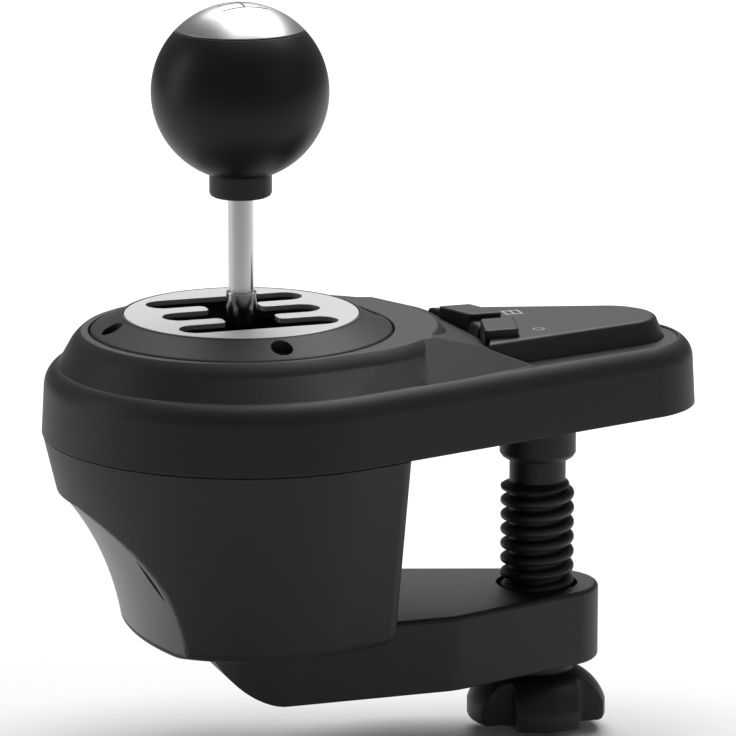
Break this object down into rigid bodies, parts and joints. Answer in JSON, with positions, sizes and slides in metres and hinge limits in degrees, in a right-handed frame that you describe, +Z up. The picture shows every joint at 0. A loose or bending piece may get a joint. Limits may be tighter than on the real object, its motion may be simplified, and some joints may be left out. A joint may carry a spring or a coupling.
{
  "type": "desk_clamped_gated_shifter",
  "caption": "Black sim racing gear shifter with a ball-topped lever in a silver gate, push buttons on its arm, and a screw clamp for a desk edge",
  "frame": {"origin": "on the clamp screw's axis at the desk face under the arm", "axes": "+X along the arm to its tip, +Y across to the side away from the picture's camera, +Z up along the clamp screw"},
  "size_m": [0.2004, 0.1218, 0.2235],
  "materials": {
    "shell_plastic": "fine matt moulded texture, black",
    "arm_plastic": "fine matt moulded texture, black, slightly lighter",
    "panel_plastic": "satin moulded, black",
    "trim_plastic": "satin dark grey paint",
    "ball_plastic": "satin to gloss black, smooth",
    "satin_plate": "fine satin silver",
    "satin_cap": "satin silver, fine blasted",
    "bright_chrome": "polished",
    "screw_steel": "black zinc plated",
    "plain_steel": "turned or ground steel",
    "frame_metal": "cast and lightly blasted",
    "bush_brass": "turned",
    "white_plastic": "natural acetal",
    "board_green": "circuit board",
    "switch_plastic": "moulded",
    "pad_rubber": "fine ribbed black rubber"
  },
  "bodies": {
    "casing": {"upper_shell": "shell_plastic", "gate_ring": "shell_plastic", "gate_plate": "satin_plate", "gate_screws": "screw_steel", "lower_bucket": "shell_plastic", "front_trim": "trim_plastic", "casing_screws": "screw_steel", "arm_cover": "shell_plastic", "desk_pad": "pad_rubber", "cover_screws": "screw_steel", "button_panel": "panel_plastic", "panel_screws": "screw_steel", "button_board": "board_green", "button_board_screws": "screw_steel", "button_switches": "switch_plastic", "main_board": "board_green", "main_board_screws": "screw_steel", "ribbon_cable": "switch_plastic", "cable_socket": "plain_steel", "detent_cam": "white_plastic", "pivot_frame": "frame_metal", "frame_bushes": "bush_brass", "frame_screws": "screw_steel", "side_sensor_board": "board_green", "centring_springs": "plain_steel", "clamp_arm": "arm_plastic", "arm_bolts": "screw_steel", "clamp_nut": "arm_plastic"},
    "yoke": {"side_yoke": "frame_metal", "yoke_bushes": "bush_brass", "side_pins": "plain_steel", "side_magnet": "plain_steel", "shift_sensor_board": "board_green"},
    "lever": {"pivot_block": "frame_metal", "shift_axle": "plain_steel", "shift_magnet": "plain_steel", "lever_sleeve": "bright_chrome", "detent_spring": "plain_steel", "reverse_spring": "plain_steel"},
    "detent": {"detent_pin": "plain_steel"},
    "knob": {"lever_rod": "bright_chrome", "knob_ball": "ball_plastic", "knob_cap": "satin_cap", "knob_collar": "panel_plastic", "knob_insert": "bush_brass"},
    "range_key": {"range_button": "panel_plastic", "range_plunger": "switch_plastic"},
    "mode_key": {"mode_button": "panel_plastic", "mode_plunger": "switch_plastic"},
    "pad": {"clamp_pad": "arm_plastic", "pad_face": "pad_rubber"},
    "screw": {"clamp_screw": "arm_plastic", "clamp_knob": "arm_plastic", "pad_clip": "plain_steel"}
  },
  "joints": [
    {"name": "side_tilt", "type": "hinge", "parent": "casing", "child": "yoke", "pos_m": [-0.093, 0, -0.031], "axis": [1, 0, 0], "range_deg": [-14.77, 14.77], "stiffness_Nm_per_rad": 1.2},
    {"name": "fore_aft_tilt", "type": "hinge", "parent": "yoke", "child": "lever", "pos_m": [-0.093, 0, -0.031], "axis": [0, 1, 0], "range_deg": [-15.2, 15.2]},
    {"name": "detent_press", "type": "slide", "parent": "lever", "child": "detent", "axis": [0, 0, 1], "range_m": [0, 0.0006], "stiffness_N_per_m": 2000, "springref_m": -0.002, "deforming": ["detent_spring"]},
    {"name": "reverse_push", "type": "slide", "parent": "lever", "child": "knob", "axis": [0, 0, -1], "range_m": [0, 0.006], "stiffness_N_per_m": 800, "springref_m": -0.01, "deforming": ["reverse_spring"]},
    {"name": "range_press", "type": "slide", "parent": "casing", "child": "range_key", "axis": [0, 0, -1], "range_m": [0, 0.0012], "stiffness_N_per_m": 1500, "springref_m": -0.001},
    {"name": "mode_press", "type": "slide", "parent": "casing", "child": "mode_key", "axis": [0, 0, -1], "range_m": [0, 0.0012], "stiffness_N_per_m": 1500, "springref_m": -0.001},
    {"name": "clamp_travel", "type": "slide", "parent": "casing", "child": "pad", "axis": [0, 0, 1], "range_m": [-0.038, 0]},
    {"name": "clamp_turn", "type": "hinge", "parent": "pad", "child": "screw", "pos_m": [0, 0, 0], "axis": [0, 0, 1], "range_deg": [-3041, 0]}
  ],
  "couplings": [
    {"joint": "clamp_turn", "follows": "clamp_travel", "rad_per_m": 1396.3}
  ]
}
